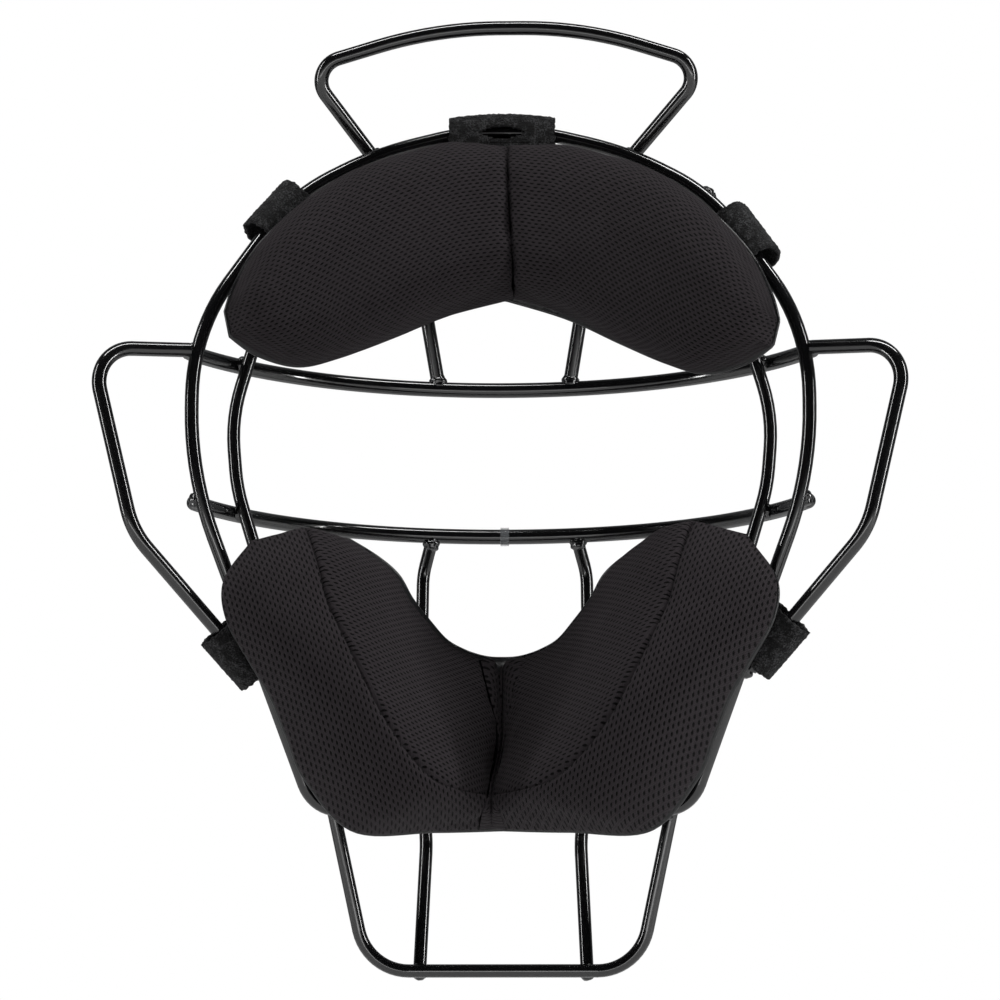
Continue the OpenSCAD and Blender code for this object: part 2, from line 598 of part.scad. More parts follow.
// A strap's place: on a wire at height z, square to the back of its pad.
function place(wire, z, n) =
    let (p = at_z(wire, z), d = along_at_z(wire, z), t = unit(d - n * (d * n)),
         out = unit(cross(t, n)))
    [p, out, n, cross(out, n)];
module placed(f) {
    frame(f[0], f[1], f[2], f[3]) children();
}
top_place = [[0, rim_top_y, rim_top_z], [0, 0, 1], [0, 1, 0], [-1, 0, 0]];
top_strap = [rim_r, fore_seat, 0, rim_top_z - fore_top[0][2], mid_strap_w, tail_len];

// Where a second wire passes a strap's place, at a distance zp across the strap.
function passing(f, wire, z, zp) =
    let (p = at_z(wire, z) - f[0], d = along_at_z(wire, z),
         q = p + d * ((zp - p * f[3]) / (d * f[3])))
    [q * f[1], q * f[2]];
// A strap that also takes in a second wire of radius r.
function deep_strap(f, r1, depth, wire, z, r, tail) =
    let (a = passing(f, wire, z, side_strap_w / 2), b = passing(f, wire, z, -side_strap_w / 2))
    [r1, depth, max(a[1], b[1], 1.2) + r + 0.9, r + 3 - min(a[0], b[0]), side_strap_w, tail];

// Forehead side straps go round the rim and the top of the chin hoop behind it.
function fore_normal(x) = unit([2 * fore_bow * x, 1, 0]);
function fore_x(z) = at_z(rim_trace, z)[0] - 13;
function fore_place(z) = place(rim_trace, z, fore_normal(fore_x(z)));
function fore_strap(z, hand) =
    let (f = fore_place(z), x = fore_x(z), shift = hand * (rim_top_z - z) * sin(forehead_turn),
         depth = (f[0] - [x, fore_back_y(x + shift), z]) * f[2])
    deep_strap(f, rim_r, depth, hoop_trace, z, hoop_r, tail_len);
fore_right_z = rim_top_z * 0.61;
fore_left_z = rim_top_z * 0.698;

// Jaw straps go round the foot of each ear guard and the rim beside it.
jaw_seat = 0.8;
function jaw_place(z) = place(ear_trace, z, -jaw_frame(2, 0)[3]);
function jaw_strap(z) =
    let (f = jaw_place(z), depth = (f[0] - jaw_frame(2, 0)[0]) * f[2] - layer - jaw_seat)
    deep_strap(f, guard_r, depth, rim_trace, z, rim_r, jaw_tail_len);
module forehead_middle_strap() {
    placed(top_place) base_strap(top_strap, true);
}
module forehead_middle_tab() {
    placed(top_place) tab(top_strap);
}
module forehead_right_strap() {
    placed(fore_place(fore_right_z)) base_strap(fore_strap(fore_right_z, 1));
}
module forehead_right_tab() {
    placed(fore_place(fore_right_z)) tab(fore_strap(fore_right_z, 1));
}
module forehead_left_strap() {
    mirror([1, 0, 0]) placed(fore_place(fore_left_z)) base_strap(fore_strap(fore_left_z, -1));
}
module forehead_left_tab() {
    mirror([1, 0, 0]) placed(fore_place(fore_left_z)) tab(fore_strap(fore_left_z, -1));
}
module jaw_right_strap() {
    placed(jaw_place(jaw_right_z)) base_strap(jaw_strap(jaw_right_z));
}
module jaw_right_tab() {
    placed(jaw_place(jaw_right_z)) tab(jaw_strap(jaw_right_z));
}
module jaw_left_strap() {
    mirror([1, 0, 0]) placed(jaw_place(jaw_left_z)) base_strap(jaw_strap(jaw_left_z));
}
module jaw_left_tab() {
    mirror([1, 0, 0]) placed(jaw_place(jaw_left_z)) tab(jaw_strap(jaw_left_z));
}
rim_wire();
crown_loop();
upper_eye_bar();
lower_eye_bar();
chin_hoop();
left_face_bar();
right_face_bar();
left_ear_guard();
right_ear_guard();
weld_beads();
clear_band();
forehead_foam_left();
forehead_foam_right();
forehead_cover_left();
forehead_cover_right();
forehead_back_panel();
jaw_foam_left();
jaw_foam_right();
jaw_outer_panel_left();
jaw_outer_panel_right();
jaw_inner_panel_left();
jaw_inner_panel_right();
jaw_center_gusset();
jaw_back_panel();
forehead_middle_strap();
forehead_left_strap();
forehead_right_strap();
jaw_left_strap();
jaw_right_strap();
forehead_middle_tab();
forehead_left_tab();
forehead_right_tab();
jaw_left_tab();
jaw_right_tab();
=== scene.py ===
import json
import math

import bmesh
import bpy
import numpy as np
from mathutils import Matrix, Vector, noise


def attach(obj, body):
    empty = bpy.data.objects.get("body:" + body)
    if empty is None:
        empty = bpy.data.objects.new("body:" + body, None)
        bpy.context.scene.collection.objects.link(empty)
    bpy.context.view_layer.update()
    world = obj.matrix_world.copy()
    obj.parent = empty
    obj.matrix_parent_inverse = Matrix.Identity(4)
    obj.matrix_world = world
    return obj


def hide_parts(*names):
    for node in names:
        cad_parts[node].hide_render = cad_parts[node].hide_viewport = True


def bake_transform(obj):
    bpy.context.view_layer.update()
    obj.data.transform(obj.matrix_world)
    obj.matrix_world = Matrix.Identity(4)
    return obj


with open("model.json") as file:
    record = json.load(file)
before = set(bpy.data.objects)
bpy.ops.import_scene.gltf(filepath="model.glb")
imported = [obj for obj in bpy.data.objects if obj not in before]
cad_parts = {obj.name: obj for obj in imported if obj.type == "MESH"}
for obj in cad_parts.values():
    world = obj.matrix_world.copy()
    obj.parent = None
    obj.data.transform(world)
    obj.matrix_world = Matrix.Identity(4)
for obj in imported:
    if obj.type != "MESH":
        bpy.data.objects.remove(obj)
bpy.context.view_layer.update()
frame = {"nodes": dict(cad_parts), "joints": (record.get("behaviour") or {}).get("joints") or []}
nodes = frame["nodes"]
MM = 0.001


# ---------------------------------------------------------------- small helpers
def unit(v):
    v = np.asarray(v, float)
    return v / np.linalg.norm(v)


def spline(points, t):
    """Catmull-Rom through points, t from 0 to len - 1."""
    p = np.asarray(points, float)
    n = len(p) - 1
    i = min(int(math.floor(t)), n - 1)
    f = t - i
    a, b, c, d = p[max(i - 1, 0)], p[i], p[i + 1], p[min(i + 2, n)]
    return 0.5 * (2 * b + (c - a) * f + (2 * a - 5 * b + 4 * c - d) * f * f
                  + (3 * b - a - 3 * c + d) * f ** 3)


def smooth(e0, e1, x):
    t = min(max((x - e0) / (e1 - e0), 0.0), 1.0)
    return t * t * (3 - 2 * t)


def mesh_object(name, verts, faces, uvs=None):
    """verts in mm. uvs: one (u, v) in mm for each vertex."""
    me = bpy.data.meshes.new(name)
    me.from_pydata([tuple(float(c) * MM for c in v) for v in verts], [], faces)
    if uvs is not None:
        layer = me.uv_layers.new(name="mm")
        loops = np.empty(len(me.loops), dtype=np.int32)
        me.loops.foreach_get("vertex_index", loops)
        layer.data.foreach_set("uv", np.asarray(uvs, np.float32)[loops].ravel())
    me.update()
    me.shade_smooth()
    ob = bpy.data.objects.new(name, me)
    bpy.context.scene.collection.objects.link(ob)
    return ob


def grid_faces(rows, cols, start=0, flip=False, wrap=False):
    out = []
    for i in range(rows - 1):
        for j in range(cols if wrap else cols - 1):
            a = start + i * cols + j
            b = start + i * cols + (j + 1) % cols
            q = (a, b, b + cols, a + cols)
            out.append(q[::-1] if flip else q)
    return out


def arc_uv(grid):
    """Arc lengths in mm along both directions of a grid of points."""
    g = np.asarray(grid)
    du = np.linalg.norm(np.diff(g, axis=0), axis=2)
    dv = np.linalg.norm(np.diff(g, axis=1), axis=2)
    u = np.zeros(g.shape[:2])
    v = np.zeros(g.shape[:2])
    u[1:] = np.cumsum(du.mean(axis=1, keepdims=True) * np.ones_like(du), axis=0)
    v[:, 1:] = np.cumsum(dv, axis=1)
    v -= v[:, -1:] / 2
    return np.stack([u, v], axis=2).reshape(-1, 2)


# ---------------------------------------------------------------- materials
class Nodes:
    """Builds a node material with short calls."""

    def __init__(self, name):
        self.mat = bpy.data.materials.new(name)
        self.mat.use_nodes = True
        self.tree = self.mat.node_tree
        self.shader = self.tree.nodes["Principled BSDF"]

    def add(self, kind, **values):
        n = self.tree.nodes.new(kind)
        for k, v in values.items():
            setattr(n, k, v)
        return n

    def link(self, a, b):
        self.tree.links.new(a, b)

    def feed(self, socket, value):
        if isinstance(value, bpy.types.NodeSocket):
            self.link(value, socket)
        else:
            socket.default_value = value

    def math(self, op, a, b=0.0, c=0.0):
        n = self.add("ShaderNodeMath", operation=op)
        for socket, value in zip(n.inputs, (a, b, c)):
            self.feed(socket, value)
        return n.outputs[0]

    def range(self, value, a0, a1, b0, b1, kind="SMOOTHSTEP"):
        n = self.add("ShaderNodeMapRange", interpolation_type=kind)
        for socket, v in zip(n.inputs, (value, a0, a1, b0, b1)):
            self.feed(socket, v)
        return n.outputs[0]

    def mix(self, factor, a, b):
        n = self.add("ShaderNodeMix", data_type="RGBA")
        self.feed(n.inputs[0], factor)
        self.feed(n.inputs[6], a if isinstance(a, bpy.types.NodeSocket) else (*a, 1))
        self.feed(n.inputs[7], b if isinstance(b, bpy.types.NodeSocket) else (*b, 1))
        return n.outputs[2]

    def noise(self, scale, detail=2.0, vector=None, rough=0.5):
        n = self.add("ShaderNodeTexNoise")
        n.inputs["Scale"].default_value = scale
        n.inputs["Detail"].default_value = detail
        n.inputs["Roughness"].default_value = rough
        self.link(vector or self.place(), n.inputs["Vector"])
        return n.outputs["Fac"]

    def place(self):
        return self.add("ShaderNodeTexCoord").outputs["Object"]

    def uv(self):
        split = self.add("ShaderNodeSeparateXYZ")
        n = self.add("ShaderNodeUVMap", uv_map="mm")
        self.link(n.outputs[0], split.inputs[0])
        return split.outputs[0], split.outputs[1]

    def bump(self, height, distance, strength=1.0, normal=None):
        n = self.add("ShaderNodeBump")
        n.inputs["Distance"].default_value = distance
        n.inputs["Strength"].default_value = strength
        self.link(height, n.inputs["Height"])
        if normal:
            self.link(normal, n.inputs["Normal"])
        return n.outputs[0]

    def set(self, **values):
        for k, v in values.items():
            self.feed(self.shader.inputs[k.replace("_", " ")], v)


def enamel(name, tint=(0.0032, 0.0032, 0.0035)):
    m = Nodes(name)
    drip = m.noise(55, 2)
    m.set(Base_Color=m.mix(drip, tint, tuple(c * 1.5 for c in tint)),
          Roughness=m.range(m.noise(120, 3), 0.3, 0.7, 0.12, 0.19, "LINEAR"),
          Coat_Weight=0.8, Coat_Roughness=0.04, IOR=1.5, Normal=m.bump(drip, 0.0004, 0.2))
    return m.mat


def mesh_cloth(name, tint=(0.0150, 0.0128, 0.0142), long_pitch=2.5, short_pitch=1.25):
    """Athletic mesh: staggered oval eyelets knitted into a matte cloth, with painted shade in the
    eyelets and a painted highlight on the raised knit. UV is in mm.
    """
    m = Nodes(name)
    u, v = m.uv()
    row = m.math("FLOOR", m.math("DIVIDE", v, short_pitch))
    shift = m.math("MULTIPLY", m.math("MODULO", m.math("ABSOLUTE", row), 2.0), 0.5)
    cu = m.math("SUBTRACT", m.math("FRACT", m.math("ADD", m.math("DIVIDE", u, long_pitch), shift)), 0.5)
    cv = m.math("SUBTRACT", m.math("FRACT", m.math("DIVIDE", v, short_pitch)), 0.5)
    a = m.math("POWER", m.math("MULTIPLY", cu, long_pitch / 0.8), 2.0)
    b = m.math("POWER", m.math("MULTIPLY", cv, short_pitch / 0.32), 2.0)
    hole = m.range(m.math("SQRT", m.math("ADD", a, b)), 0.6, 1.25, 1.0, 0.0)
    stitch = m.math("MULTIPLY", m.math("SINE", m.math("MULTIPLY", u, 9.5)),
                    m.math("SINE", m.math("MULTIPLY", v, 9.5)))
    wear = m.noise(28, 3)
    cloth = m.mix(wear, tint, tuple(c * 1.5 for c in tint))
    # Painted highlight: the raised knit (stitch peaks) is painted lighter than the cloth.
    knit_with_painted_highlight = m.mix(m.range(stitch, -1, 1, 0, 1, "LINEAR"), cloth, tuple(c * 1.9 for c in tint))
    height = m.math("SUBTRACT", m.math("MULTIPLY", stitch, 0.12), hole)
    # The eyelets are painted near black: painted shade in the holes.
    m.set(Base_Color=m.mix(hole, knit_with_painted_highlight, (0.0008, 0.0007, 0.0008)), Roughness=0.9,
          Specular_IOR_Level=0.12, Sheen_Weight=0.05, Sheen_Roughness=0.5,
          Sheen_Tint=(0.55, 0.5, 0.53, 1),
          Normal=m.bump(height, 0.0006, 1.0, m.bump(wear, 0.0015, 0.3)))
    return m.mat


def vinyl(name):
    m = Nodes(name)
    grain = m.add("ShaderNodeTexVoronoi", feature="SMOOTH_F1")
    grain.inputs["Scale"].default_value = 900
    m.link(m.place(), grain.inputs["Vector"])
    m.set(Base_Color=m.mix(m.noise(40), (0.006, 0.006, 0.0065), (0.011, 0.011, 0.012)),
          Roughness=m.range(m.noise(120), 0.3, 0.7, 0.24, 0.36, "LINEAR"), Specular_IOR_Level=0.55,
          Normal=m.bump(grain.outputs["Distance"], 0.00016, 0.5))
    return m.mat


def loop_tape(name, tint=(0.0016, 0.0015, 0.0016)):
    m = Nodes(name)
    curl = m.noise(1900, 3, rough=0.65)
    clump = m.noise(420, 3)
    # Painted highlight: light specks on the raised fibre loops of the black tape.
    painted_loop_glint = m.range(m.math("MULTIPLY", curl, m.range(clump, 0.3, 0.7, 0.8, 1.15)), 0.47, 0.66, 0.0, 1.0)
    m.set(Base_Color=m.mix(painted_loop_glint, tint, (0.052, 0.052, 0.054)),
          Roughness=0.8, Specular_IOR_Level=0.25, Sheen_Weight=0.1, Sheen_Roughness=0.5,
          Sheen_Tint=(0.5, 0.5, 0.52, 1),
          Normal=m.bump(curl, 0.0012, 1.0, m.bump(clump, 0.0018, 0.8)))
    return m.mat


def clear_plastic(name):
    m = Nodes(name)
    m.set(Base_Color=(0.22, 0.23, 0.24, 1), Roughness=m.range(m.noise(300), 0, 1, 0.05, 0.12, "LINEAR"),
          IOR=1.46, Alpha=0.35)
    return m.mat


def thread(name):
    m = Nodes(name)
    m.set(Base_Color=m.mix(m.noise(2500), (0.002, 0.002, 0.002), (0.006, 0.0055, 0.006)),
          Roughness=0.7, Specular_IOR_Level=0.2)
    return m.mat


ENAMEL = enamel("black_enamel")
WELD = enamel("welded_enamel", (0.004, 0.004, 0.0043))
CLOTH = mesh_cloth("athletic_mesh")
VINYL = vinyl("black_vinyl")
TAPE = loop_tape("loop_tape")
CLEAR = clear_plastic("clear_plastic")
THREAD = thread("black_thread")

# ---------------------------------------------------------------- the wires
WIRES = ["rim_wire", "crown_loop", "upper_eye_bar", "lower_eye_bar", "chin_hoop",
         "left_face_bar", "right_face_bar", "left_ear_guard", "right_ear_guard"]
for name in WIRES:
    nodes[name].data.materials.clear()
    nodes[name].data.materials.append(ENAMEL)
nodes["clear_band"].data.materials.clear()
nodes["clear_band"].data.materials.append(CLEAR)


# ---------------------------------------------------------------- sheets and pads
def thick_sheet(name, face, back, material, keep=None, uvs=None):
    """A closed sheet between two grids of points. keep(i, j) says which cells are there."""
    f, b = np.asarray(face), np.asarray(back)
    rows, cols = f.shape[:2]
    there = [[keep is None or keep(i, j) for j in range(cols - 1)] for i in range(rows - 1)]

    def has(i, j):
        return 0 <= i < rows - 1 and 0 <= j < cols - 1 and there[i][j]

    s = rows * cols
    faces = []
    for i in range(rows - 1):
        for j in range(cols - 1):
            if not there[i][j]:
                continue
            p, q, r, w = i * cols + j, i * cols + j + 1, (i + 1) * cols + j + 1, (i + 1) * cols + j
            faces += [(p, q, r, w), (s + w, s + r, s + q, s + p)]
            for di, dj, a, c in ((-1, 0, p, q), (0, 1, q, r), (1, 0, r, w), (0, -1, w, p)):
                if not has(i + di, j + dj):
                    faces.append((c, a, s + a, s + c))
    uv = arc_uv(f) if uvs is None else uvs
    ob = mesh_object(name, np.concatenate([f.reshape(-1, 3), b.reshape(-1, 3)]), faces,
                     np.concatenate([uv, uv]))
    tidy(ob)
    ob.data.materials.append(material)
    return ob


def tidy(ob):
    """Faces turned outwards and stray points dropped."""
    bm = bmesh.new()
    bm.from_mesh(ob.data)
    loose = [v for v in bm.verts if not v.link_faces]
    bmesh.ops.delete(bm, geom=loose, context="VERTS")
    bmesh.ops.recalc_face_normals(bm, faces=bm.faces)
    bm.to_mesh(ob.data)
    bm.free()
    ob.data.shade_smooth()


def normals(g, towards):
    """Unit normals of a grid of points, on the side of the direction given."""
    n = np.cross(np.gradient(g, axis=1), np.gradient(g, axis=0))
    n /= np.linalg.norm(n, axis=2, keepdims=True) + 1e-9
    flip = np.sign((n * towards).sum(axis=2).mean())
    return n * flip


def crumple(g, n, amount, scale, seed):
    """Moves a grid along its normals by a soft noise. amount: mm at each point."""
    out = g.copy()
    for i in range(g.shape[0]):
        for j in range(g.shape[1]):
            if amount[i, j] > 1e-3:
                p = Vector(g[i, j] * scale) + Vector((seed, 0, 0))
                out[i, j] += n[i, j] * amount[i, j] * (noise.fractal(p, 0.8, 2.0, 3) - 0.1)
    return out


def piping(name, face_grid, back_grid, turns=8):
    """A round vinyl edge along the border between a back panel's two faces."""
    p = even_line((outline(face_grid) + outline(back_grid)) / 2, 1.2)
    n = len(p)
    verts = []
    for i in range(n):
        d = unit(p[(i + 1) % n] - p[i - 1])
        x = unit(np.cross(d, [0.13, 1, 0.07]))
        y = np.cross(d, x)
        for k in range(turns):
            a = 2 * math.pi * k / turns
            verts.append(p[i] + PIPING_R * (x * math.cos(a) + y * math.sin(a)))
    faces = []
    for i in range(n):
        here, ahead = i * turns, (i + 1) % n * turns
        for k in range(turns):
            m = (k + 1) % turns
            faces.append((here + k, here + m, ahead + m, ahead + k))
    ob = mesh_object(name, verts, faces)
    tidy(ob)
    ob.data.materials.append(VINYL)
    return ob


def even_line(points, step, closed=True):
    """The same line with points a set distance apart."""
    p = np.asarray(points, float)
    if closed:
        p = np.concatenate([p, p[:1]])
    length = np.concatenate([[0], np.cumsum(np.linalg.norm(np.diff(p, axis=0), axis=1))])
    count = max(8, int(length[-1] / step))
    at = np.linspace(0, length[-1], count, endpoint=not closed)
    return np.stack([np.interp(at, length, p[:, k]) for k in range(3)], axis=1)


def outline(g):
    """The border of a grid of points, once round."""
    return np.concatenate([g[:, 0], g[-1, 1:], g[-2::-1, -1], g[0, -2:0:-1]])


def thread_line(name, points, length=1.6, gap=0.9, radius=0.14):
    """A row of small stitches along an open line of points."""
    line = even_line(points, 0.45, closed=False)
    at = np.concatenate([[0], np.cumsum(np.linalg.norm(np.diff(line, axis=0), axis=1))])
    verts, faces = [], []
    s = 0.6
    while s + length < at[-1]:
        ends = [np.array([np.interp(s + length * f, at, line[:, k]) for k in range(3)])
                for f in (0, 0.5, 1)]
        d = unit(ends[2] - ends[0])
        x = unit(np.cross(d, [0.2, 1, 0.1]))
        y = np.cross(d, x)
        base = len(verts)
        for c, r in zip(ends, (0.55, 1, 0.55)):
            for k in range(6):
                a = math.pi * k / 3
                verts.append(c + radius * r * (x * math.cos(a) + y * math.sin(a)))
        for ring in range(2):
            for k in range(6):
                a, b = base + ring * 6 + k, base + ring * 6 + (k + 1) % 6
                faces.append((a, b, b + 6, a + 6))
        faces += [tuple(range(base, base + 6))[::-1], tuple(range(base + 12, base + 18))]
        s += length + gap
    ob = mesh_object(name, verts, faces)
    tidy(ob)
    ob.data.materials.append(THREAD)
    return ob


MIRROR = np.array([-1.0, 1.0, 1.0])
EDGE_OUT = 0.3  # how far a back panel stands out beyond its pad's outline
CLOTH_T = 1.6
LAYER = CLOTH_T + 0.3  # from a pad's back to its foam
PIPING_R = 0.7

# ---------------------------------------------------------------- the forehead pad
RIM_TOP = np.array([0.0, 34.0, 108.5])
TURN = math.radians(1.5)
SEAT = 5.0
BOW = 28.4 / 90.9 ** 2
SLIDE = math.asin(2.8 * 2 * BOW)
BOW_Y = RIM_TOP[1] - SEAT - 0.5 / BOW
FORE_T = 27
FORE_SEAM_DEPTH = 1.3
SQUARE = 0.62  # how square the pad's section is


def on_back(points):
    return [np.array([x, RIM_TOP[1] - SEAT - BOW * x * x, z]) for x, z in points]


FORE_TOP = on_back([(0, 98.3), (23.5, 98), (50, 89), (66.5, 77.7), (81, 61), (88.4, 46), (91.2, 36)])
FORE_LOW = on_back([(0, 49), (21, 42.6), (40, 33.3), (55, 26), (68, 21.5), (81, 23.5), (89.5, 28.5)])
FORE_FULL = np.array([(0, 0.86), (0.1, 0.93), (0.3, 0.985), (0.8, 1), (1.5, 1), (2.2, 0.99), (3, 0.96),
                      (3.7, 0.92), (4.3, 0.87), (4.8, 0.8), (5.2, 0.72), (5.6, 0.6), (5.8, 0.49),
                      (5.93, 0.38), (6, 0.28)])


def hung(p):
    """The pad's own place: slid along its bow and turned a little about the rim's top."""
    c, s = math.cos(SLIDE), math.sin(SLIDE)
    y = p[1] - BOW_Y
    p = np.array([p[0] * c + y * s, BOW_Y - p[0] * s + y * c, p[2]])
    d = p - RIM_TOP
    c, s = math.cos(TURN), math.sin(TURN)
    return RIM_TOP + np.array([d[0] * c + d[2] * s, d[1], -d[0] * s + d[2] * c])


def drawn_seam(p):
    """The middle seam is pulled towards the wearer's right at its foot."""
    share = min(max((98 - p[2]) / 49, 0), 1)
    return p + np.array([3.2 * share * math.exp(-(p[0] / 42) ** 2), 0, 0])


def fore_frame(t):
    top, low = spline(FORE_TOP, t), spline(FORE_LOW, t)
    mid = (top + low) / 2
    return mid, unit(top - low), np.linalg.norm(top - low) / 2, -unit([2 * BOW * mid[0], 1, 0])


def fore_cover(side, cols=72):
    ts = np.concatenate([np.linspace(0, 0.3, 18, endpoint=False),
                         np.linspace(0.3, 5.4, 84, endpoint=False), np.linspace(5.4, 6, 16)])
    g = []
    for t in ts:
        mid, a, half, n = fore_frame(t)
        full = FORE_T * np.interp(t, FORE_FULL[:, 0], FORE_FULL[:, 1])
        row = []
        for j in range(cols):
            ang = math.pi * j / (cols - 1)
            ex = -math.copysign(abs(math.cos(ang)) ** SQUARE, math.cos(ang))
            ey = max(math.sin(ang), 0.0) ** SQUARE
            seam = FORE_SEAM_DEPTH * math.exp(-(t / 0.05) ** 1.3) * ey
            wide = half + 1.2 * smooth(0, 0.12, ey)
            row.append(mid + a * wide * ex + n * (LAYER + (full - LAYER) * ey - seam))
        g.append(row)
    g = np.array(g)
    j = np.arange(cols) / (cols - 1)
    calm = np.clip(np.minimum(j, 1 - j) / 0.1, 0, 1)[None, :]
    rim = (1 - np.sin(np.pi * j))[None, :]
    gather = np.exp(-(ts / 0.55) ** 2)[:, None] + 0.7 * np.exp(-((6 - ts) / 0.5) ** 2)[:, None]
    n = normals(g, np.array([0, -1, 0]))
    g = crumple(g, n, (0.3 + 0.55 * gather + 0.5 * rim) * calm, 0.075, 11 + side * 3)
    last = g[-1]
    base = np.linspace(last[0], last[-1], cols)
    g = np.concatenate([g] + [[last * (1 - k) + base * k] for k in (0.3, 0.6, 0.82, 0.95)])
    g[..., 0] += 0.12
    g = np.array([[hung(drawn_seam(p * (MIRROR if side < 0 else 1))) for p in row] for row in g])
    name = "forehead_cloth_" + ("right" if side > 0 else "left")
    ob = mesh_object(name, g.reshape(-1, 3), grid_faces(g.shape[0], cols), arc_uv(g))
    tidy(ob)
    ob.data.materials.append(CLOTH)
    return ob, g


def fore_back():
    face, back = [], []
    for t in np.linspace(0, 6, 64):
        mid, a, half, n = fore_frame(t)
        across = [mid + a * (half + EDGE_OUT) * k for k in np.linspace(-1, 1, 16)]
        face.append([p + n * CLOTH_T for p in across])
        back.append(across)
    halves = []
    for g in (np.array(face), np.array(back)):
        whole = np.concatenate([(g * MIRROR)[:0:-1], g])
        halves.append(np.array([[hung(p) for p in row] for row in whole]))
    return thick_sheet("forehead_vinyl_back", halves[0], halves[1], VINYL), halves


def dress(ob, slot, *replaced, padded=False):
    """Puts a finished piece on the mask."""
    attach(ob, "mask")
    if replaced:
        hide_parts(*replaced)


fore_r, grid_r = fore_cover(1)
fore_l, _ = fore_cover(-1)
dress(fore_r, "mesh_cloth", "forehead_cover_right", "forehead_foam_right", padded=True)
dress(fore_l, "mesh_cloth", "forehead_cover_left", "forehead_foam_left", padded=True)
back, grids = fore_back()
dress(back, "vinyl", "forehead_back_panel")
dress(piping("forehead_piping", *grids), "vinyl")
dress(thread_line("forehead_seam_thread", grid_r[0, 8:-8] + [-0.15, -0.1, 0]), "mesh_cloth")

# ---------------------------------------------------------------- the jaw pad
JAW_OUTER = [(79.5, 3, -37.6), (88.5, 0, -51), (87.5, 0, -64), (80, 3, -77.5), (73.5, 6.5, -88.5),
             (68.5, 11, -101), (63, 15, -114), (47.8, 23, -130), (22, 31.5, -129.5), (0, 36, -128.6)]
JAW_RIDGE = [(61.9, 0, -32.8), (57.3, -9, -46.4), (53.5, -13, -60), (47.3, -16, -73), (41, -17, -86),
             (35, -15.5, -97), (27, -11.5, -108), (18.6, -7, -115.8), (9, 0, -118.7), (0, 8, -118.6)]
JAW_INNER = [(50.5, 12.5, -35.5), (41, 16, -41), (34, 20, -46.7), (29.5, 24, -54.2), (23.8, 30, -61),
             (18.5, 35, -66.5), (12.5, 38, -69.6), (8, 40, -71), (4, 41.5, -71.6), (0, 42, -71.7)]
JAW_FULL = np.array([(0, 0.12), (0.012, 0.3), (0.035, 0.5), (0.07, 0.66), (0.12, 0.78), (0.2, 0.88),
                     (0.33, 0.95), (0.6, 0.99), (1, 1), (6.6, 1), (7.3, 0.99), (7.9, 0.98),
                     (8.3, 0.96), (9, 0.91)])
RIDGE_SEAM_DEPTH, END_SEAM_DEPTH = 2.0, 1.1
LEFT_OUT, RIGHT_UP = 0.8, 1.7  # the left half sits further out, the right half's top higher


def jaw_frame(t):
    o, i, r = spline(JAW_OUTER, t), spline(JAW_INNER, t), spline(JAW_RIDGE, t)
    ahead, behind = min(t + 0.05, 9), max(t - 0.05, 0)
    run = unit((spline(JAW_OUTER, ahead) + spline(JAW_INNER, ahead)
                - spline(JAW_OUTER, behind) - spline(JAW_INNER, behind)) / 2)
    k = max(0.0, t - 8)
    run = run * (1 - k) + np.array([-1.0, 0, 0]) * k
    return o, i, r, unit(np.cross(i - o, run))


def swell(k):
    """The cloth rolls out over the edge of the back panel."""
    return (1 - math.exp(-k / 0.03)) * math.exp(-k / 0.3)


def jaw_point(t, s):
    """A point on the pad: s = 0 at the outer edge, 1 at the ridge seam, 2 at the inner edge."""
    o, i, r, n = jaw_frame(t)
    full = float((r - o) @ n)
    rise = full * np.interp(t, JAW_FULL[:, 0], JAW_FULL[:, 1])
    ridge = r + n * (rise - full)
    if s <= 1:
        corner = o + n * rise * 0.86
        p = o * (1 - s) ** 2 + corner * 2 * s * (1 - s) + ridge * s * s
        p -= unit(i - o) * 1.3 * swell(s)
    else:
        u = 2 - s
        corner = (i + ridge) / 2 + n * 10 * rise / max(full, 1)
        p = i * (1 - u) ** 2 + corner * 2 * u * (1 - u) + ridge * u * u
        p += unit(i - o) * 1.0 * swell(u)
    return p, n


def drawn_chin(p, s):
    """The chin's seams are pulled a little towards the wearer's left."""
    share = 1 - smooth(0.95, 1.45, s)
    return p - np.array([3.3 * share * math.exp(-(p[0] / 24) ** 2), 0, 0])


def fold_depth(x, s):
    """How deep the pad dives at its middle: two round cushions pressed together."""
    reach = np.interp(s, (0, 0.5, 0.9, 1.2, 1.6, 2), (5, 8, 13, 17, 15, 9))
    deep = np.interp(s, (0, 0.5, 0.9, 1.2, 1.6, 2), (0.8, 3, 10, 20, 14, 2.5))
    u = min(abs(x) / reach, 1)
    return deep * (1 - math.sqrt(1 - (1 - u) ** 2))


def gusset_half(s):
    """Half the width of the middle gusset."""
    return float(np.interp(s, (0, 0.6, 0.95, 1.3, 1.5, 2), (4, 2.2, 0.7, 0.5, 1.4, 7.2)))


def jaw_end(s):
    lo, hi, want = 6.0, 9.0, gusset_half(s)
    for _ in range(26):
        mid = (lo + hi) / 2
        lo, hi = (mid, hi) if jaw_point(mid, s)[0][0] > want else (lo, mid)
    return lo


def jaw_surface(t, s, seam=0.0):
    p, n = jaw_point(t, s)
    return p - n * seam + np.array([0, 1, 0]) * fold_depth(p[0], s)


def flat_uv(g, run):
    """Cloth laid over a panel: its knit stays straight, with u along run."""
    p = g.reshape(-1, 3)
    n = np.linalg.svd(p - p.mean(axis=0), full_matrices=False)[2][2]
    u = unit(run - n * (n @ run))
    return np.stack([p @ u, p @ np.cross(n, u)], axis=1)


